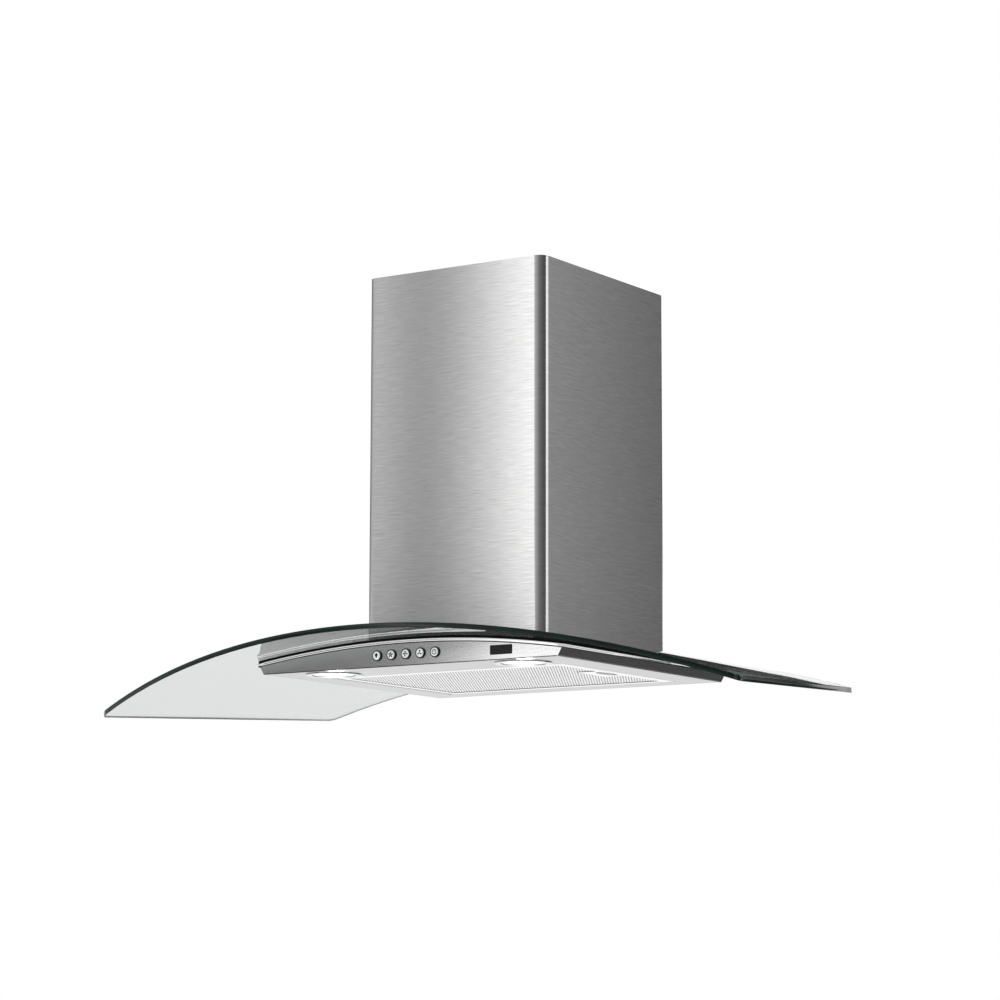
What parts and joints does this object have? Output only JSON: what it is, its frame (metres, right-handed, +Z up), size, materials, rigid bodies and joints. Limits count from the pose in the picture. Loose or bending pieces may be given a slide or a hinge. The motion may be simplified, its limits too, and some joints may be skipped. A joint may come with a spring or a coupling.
{
  "type": "curved glass range hood",
  "caption": "Wall-hung chimney range hood with an arched glass canopy, push buttons, lamps, grease filter, blower and damper.",
  "frame": {"origin": "middle of the four wall screws of the lower bracket, on the wall face", "axes": "+Z up, +X to the hood's right as seen from the front, -Y towards the cook, the wall is Y = 0"},
  "size_m": [0.8958, 0.475, 0.5332],
  "materials": {
    "stainless": "brushed along the width",
    "underside_steel": "satin",
    "polished_trim": "polished",
    "button_metal": "satin chrome",
    "clear_glass": "clear, polished edge",
    "black_seal": "matt",
    "black_plastic": "matt",
    "latch_plastic": "satin",
    "lamp_lens": "frosted",
    "lamp_body": "satin",
    "filter_aluminium": "satin",
    "galvanised": "zinc coated",
    "zinc_steel": "zinc plated",
    "scroll_plastic": "satin",
    "impeller_metal": "satin",
    "motor_metal": "cast",
    "shaft_steel": "ground",
    "collar_plastic": "satin"
  },
  "bodies": {
    "hood": {"blower_scroll": "scroll_plastic", "box_top": "galvanised", "button_bezels": "black_plastic", "cable_gland": "black_plastic", "canopy_shell": "stainless", "chimney_bracket": "galvanised", "chimney_cover": "stainless", "chimney_screws": "zinc_steel", "control_box": "black_plastic", "damper_pin": "shaft_steel", "fan_motor": "motor_metal", "fascia": "stainless", "glass_canopy": "clear_glass", "glass_gasket": "black_seal", "glass_screws": "zinc_steel", "glass_sleeves": "black_plastic", "inlet_rings": "scroll_plastic", "lamp_housing_left": "lamp_body", "lamp_housing_right": "lamp_body", "lamp_lens_left": "lamp_lens", "lamp_lens_right": "lamp_lens", "lamp_ring_left": "polished_trim", "lamp_ring_right": "polished_trim", "motor_box": "galvanised", "motor_mount": "galvanised", "outlet_collar": "collar_plastic", "switch_block": "black_plastic", "trim_strip": "polished_trim", "underside_plate": "underside_steel", "wall_bracket": "galvanised"},
    "filter": {"filter_frame": "filter_aluminium", "filter_face": "filter_aluminium", "filter_core": "filter_aluminium"},
    "latch": {"filter_latch": "latch_plastic"},
    "fan": {"fan_impeller": "impeller_metal", "motor_shaft": "shaft_steel"},
    "flap_rear": {"damper_flap_rear": "collar_plastic"},
    "flap_front": {"damper_flap_front": "collar_plastic"},
    "button_lamp": {"button_lamp": "button_metal"},
    "button_speed_1": {"button_speed_1": "button_metal"},
    "button_speed_2": {"button_speed_2": "button_metal"},
    "button_speed_3": {"button_speed_3": "button_metal"},
    "button_timer": {"button_timer": "button_metal"}
  },
  "joints": [
    {"name": "filter_swing", "type": "hinge", "parent": "hood", "child": "filter", "pos_m": [-0.1605, -0.1725, -0.1655], "axis": [0, 1, 0], "range_deg": [0, 80]},
    {"name": "latch_slide", "type": "slide", "parent": "filter", "child": "latch", "axis": [-1, 0, 0], "range_m": [0, 0.005], "stiffness_N_per_m": 200},
    {"name": "fan_spin", "type": "hinge", "parent": "hood", "child": "fan", "pos_m": [0, -0.1, 0], "axis": [1, 0, 0], "continuous": true},
    {"name": "damper_rear", "type": "hinge", "parent": "hood", "child": "flap_rear", "pos_m": [0, -0.163, 0.1395], "axis": [1, 0, 0], "range_deg": [0, 75]},
    {"name": "damper_front", "type": "hinge", "parent": "hood", "child": "flap_front", "pos_m": [0, -0.163, 0.1395], "axis": [-1, 0, 0], "range_deg": [0, 75]},
    {"name": "push_lamp", "type": "slide", "parent": "hood", "child": "button_lamp", "axis": [0, 1, 0], "range_m": [0, 0.0022], "stiffness_N_per_m": 150},
    {"name": "push_speed_1", "type": "slide", "parent": "hood", "child": "button_speed_1", "axis": [0, 1, 0], "range_m": [0, 0.0022], "stiffness_N_per_m": 150},
    {"name": "push_speed_2", "type": "slide", "parent": "hood", "child": "button_speed_2", "axis": [0, 1, 0], "range_m": [0, 0.0022], "stiffness_N_per_m": 150},
    {"name": "push_speed_3", "type": "slide", "parent": "hood", "child": "button_speed_3", "axis": [0, 1, 0], "range_m": [0, 0.0022], "stiffness_N_per_m": 150},
    {"name": "push_timer", "type": "slide", "parent": "hood", "child": "button_timer", "axis": [0, 1, 0], "range_m": [0, 0.0022], "stiffness_N_per_m": 150}
  ]
}
